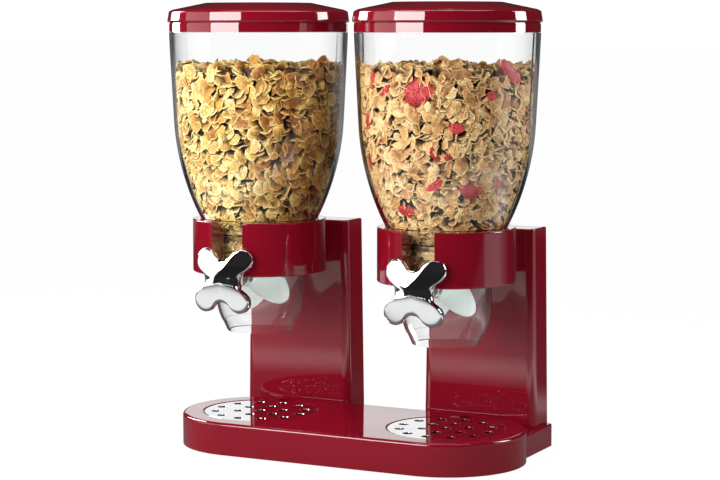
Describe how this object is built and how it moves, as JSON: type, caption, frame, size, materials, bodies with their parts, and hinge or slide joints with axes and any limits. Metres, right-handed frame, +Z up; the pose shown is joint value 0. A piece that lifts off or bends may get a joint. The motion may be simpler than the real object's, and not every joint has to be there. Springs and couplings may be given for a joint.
{
  "type": "double cereal dispenser",
  "caption": "Dry food dispenser: clear canisters lift out of collars on towers, with knob-turned paddle wheels above perforated crumb grates on a common base.",
  "frame": {"origin": "on the floor, under the middle of the bounding box", "axes": "+X to the object's right seen from the front, +Y to the back, +Z up"},
  "size_m": [0.3452, 0.1829, 0.395],
  "materials": {
    "red_plastic": "deep red, high gloss moulded",
    "red_matte_plastic": "deep red, fine moulded texture",
    "clear_plastic": "clear, polished",
    "white_plastic": "natural white, satin",
    "frosted_silicone": "translucent white, soft frosted",
    "seal_silicone": "white, soft",
    "foot_rubber": "black, matt",
    "knob_chrome": "mirror chromed",
    "grate_chrome": "mirror polished sheet",
    "screw_steel": "zinc plated"
  },
  "bodies": {
    "root": {"base_shell": "red_plastic", "base_bottom_cover": "red_matte_plastic", "rubber_feet": "foot_rubber", "base_screws": "screw_steel", "tower_screws": "screw_steel", "collar_screws": "screw_steel", "back_cover_screws": "screw_steel", "tower_left": "red_plastic", "tower_back_cover_left": "red_matte_plastic", "collar_left": "red_plastic", "tower_right": "red_plastic", "tower_back_cover_right": "red_matte_plastic", "collar_right": "red_plastic"},
    "canister_body_left": {"canister_left": "clear_plastic", "wheel_chamber_left": "clear_plastic", "front_bush_left": "white_plastic", "rear_bush_left": "white_plastic"},
    "wheel_body_left": {"knob_left": "knob_chrome", "knob_shaft_left": "screw_steel", "paddle_core_left": "white_plastic", "paddle_vanes_left": "frosted_silicone"},
    "lid_body_left": {"lid_left": "red_plastic", "lid_seal_left": "seal_silicone"},
    "grate_body_left": {"crumb_grate_left": "grate_chrome"},
    "canister_body_right": {"canister_right": "clear_plastic", "wheel_chamber_right": "clear_plastic", "front_bush_right": "white_plastic", "rear_bush_right": "white_plastic"},
    "wheel_body_right": {"knob_right": "knob_chrome", "knob_shaft_right": "screw_steel", "paddle_core_right": "white_plastic", "paddle_vanes_right": "frosted_silicone"},
    "lid_body_right": {"lid_right": "red_plastic", "lid_seal_right": "seal_silicone"},
    "grate_body_right": {"crumb_grate_right": "grate_chrome"}
  },
  "joints": [
    {"name": "canister_lift_left", "type": "slide", "parent": "root", "child": "canister_body_left", "axis": [0, 0, 1], "range_m": [0, 0.11]},
    {"name": "wheel_spin_left", "type": "hinge", "parent": "canister_body_left", "child": "wheel_body_left", "pos_m": [-0.09165, -0.0105, 0.1544], "axis": [0, 1, 0], "continuous": true},
    {"name": "lid_lift_left", "type": "slide", "parent": "canister_body_left", "child": "lid_body_left", "axis": [0, 0, 1], "range_m": [0, 0.06]},
    {"name": "grate_lift_left", "type": "slide", "parent": "root", "child": "grate_body_left", "axis": [0, 0, 1], "range_m": [0, 0.03]},
    {"name": "canister_lift_right", "type": "slide", "parent": "root", "child": "canister_body_right", "axis": [0, 0, 1], "range_m": [0, 0.11]},
    {"name": "wheel_spin_right", "type": "hinge", "parent": "canister_body_right", "child": "wheel_body_right", "pos_m": [0.09165, -0.0105, 0.1544], "axis": [0, 1, 0], "continuous": true},
    {"name": "lid_lift_right", "type": "slide", "parent": "canister_body_right", "child": "lid_body_right", "axis": [0, 0, 1], "range_m": [0, 0.06]},
    {"name": "grate_lift_right", "type": "slide", "parent": "root", "child": "grate_body_right", "axis": [0, 0, 1], "range_m": [0, 0.03]}
  ]
}
